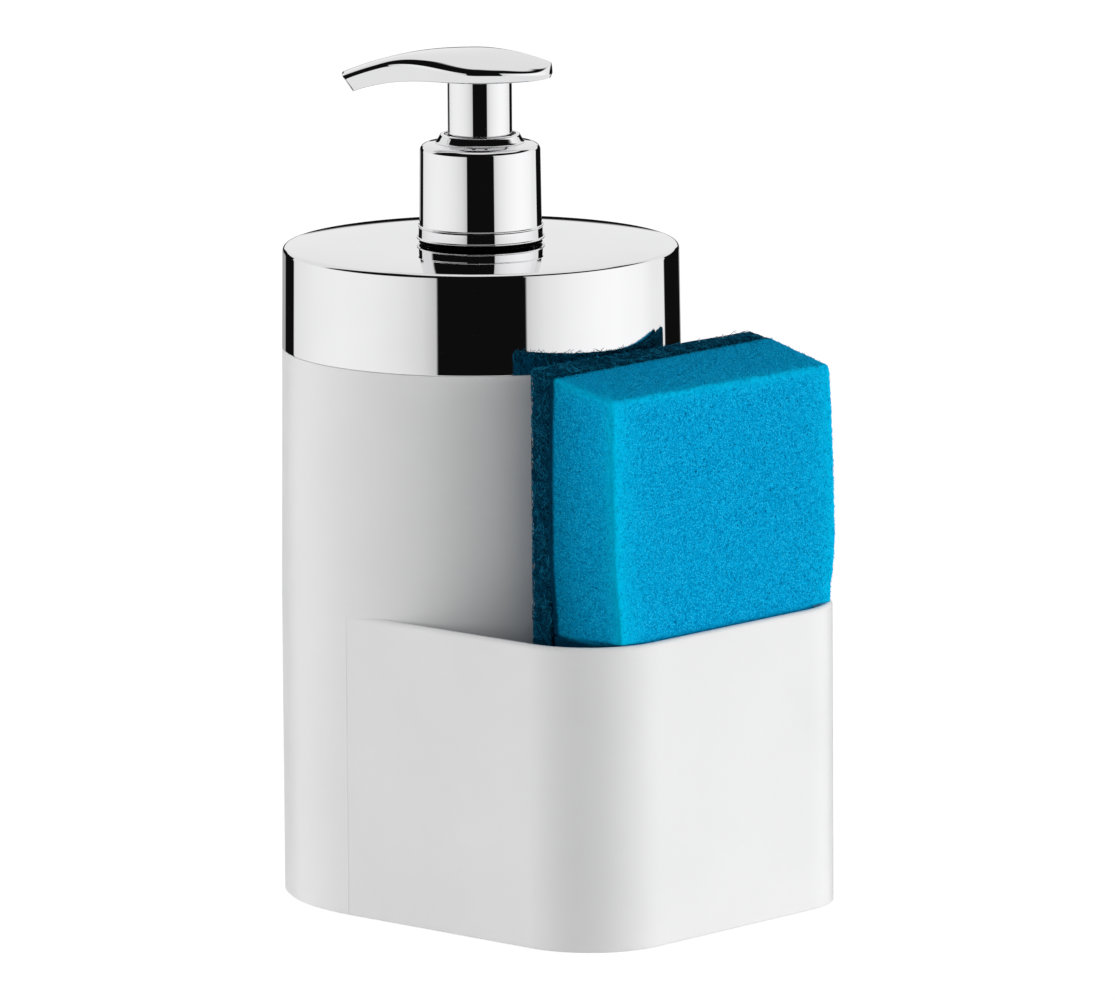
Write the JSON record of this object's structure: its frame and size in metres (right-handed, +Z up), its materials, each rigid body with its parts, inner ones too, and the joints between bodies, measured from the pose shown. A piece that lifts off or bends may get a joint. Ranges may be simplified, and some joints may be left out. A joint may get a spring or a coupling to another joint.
{
  "type": "soap pump caddy",
  "caption": "Round soap tank with a bright lid and lotion pump, and a square-fronted pocket on its side that holds an upright two-layer sponge.",
  "frame": {"origin": "on the tank's axis, in the flat base that the caddy stands on", "axes": "+Z up along the tank and the pump, -Y through the flat front of the sponge pocket, +X to the right of someone who looks at that front"},
  "size_m": [0.1, 0.133, 0.2101],
  "materials": {
    "white_moulding": "satin moulded",
    "bright_plating": "mirror plated",
    "soft_seal": "matte",
    "natural_plastic": "natural, slightly milky",
    "white_plastic": "matte",
    "spring_steel": "drawn wire",
    "ball_steel": "polished",
    "foam": "open-cell foam",
    "scouring_fibre": "matted fibre"
  },
  "bodies": {
    "caddy": {"caddy_body": "white_moulding"},
    "lid": {"lid_cover": "bright_plating", "lid_seal": "soft_seal"},
    "pump_body": {"pump_housing": "natural_plastic", "neck_gasket": "soft_seal", "lock_ring": "bright_plating", "ball_cage": "white_plastic", "return_spring": "spring_steel", "dip_tube": "natural_plastic"},
    "closure": {"closure_shell": "bright_plating", "closure_nut": "white_plastic"},
    "plunger": {"piston_rod": "white_plastic", "piston_seat": "white_plastic"},
    "head": {"pump_head": "bright_plating", "stem_sleeve": "bright_plating"},
    "seal": {"piston_seal": "natural_plastic"},
    "ball": {"inlet_ball": "ball_steel"},
    "sponge": {"sponge_foam": "foam", "scouring_pad": "scouring_fibre"}
  },
  "joints": [
    {"name": "lid_lift", "type": "slide", "parent": "caddy", "child": "lid", "axis": [0, 0, 1], "range_m": [0, 0.16]},
    {"name": "pump_rise", "type": "slide", "parent": "lid", "child": "pump_body", "axis": [0, 0, 1], "range_m": [0, 0.00635]},
    {"name": "closure_turn", "type": "hinge", "parent": "pump_body", "child": "closure", "pos_m": [0, 0, 0.175], "axis": [0, 0, 1], "range_deg": [0, 540]},
    {"name": "head_press", "type": "slide", "parent": "pump_body", "child": "plunger", "axis": [0, 0, -1], "range_m": [0, 0.0138], "stiffness_N_per_m": 700, "springref_m": -0.01, "deforming": ["return_spring"]},
    {"name": "head_turn", "type": "hinge", "parent": "plunger", "child": "head", "pos_m": [0, 0, 0.2], "axis": [0, 0, 1], "continuous": true},
    {"name": "seal_slip", "type": "slide", "parent": "plunger", "child": "seal", "axis": [0, 0, 1], "range_m": [0, 0.001]},
    {"name": "ball_lift", "type": "slide", "parent": "pump_body", "child": "ball", "axis": [0, 0, 1], "range_m": [0, 0.0015]},
    {"name": "sponge_lift", "type": "slide", "parent": "caddy", "child": "sponge", "axis": [0, 0, 1], "range_m": [0, 0.19]}
  ],
  "couplings": [
    {"joint": "closure_turn", "follows": "pump_rise", "rad_per_m": 1484.3}
  ]
}
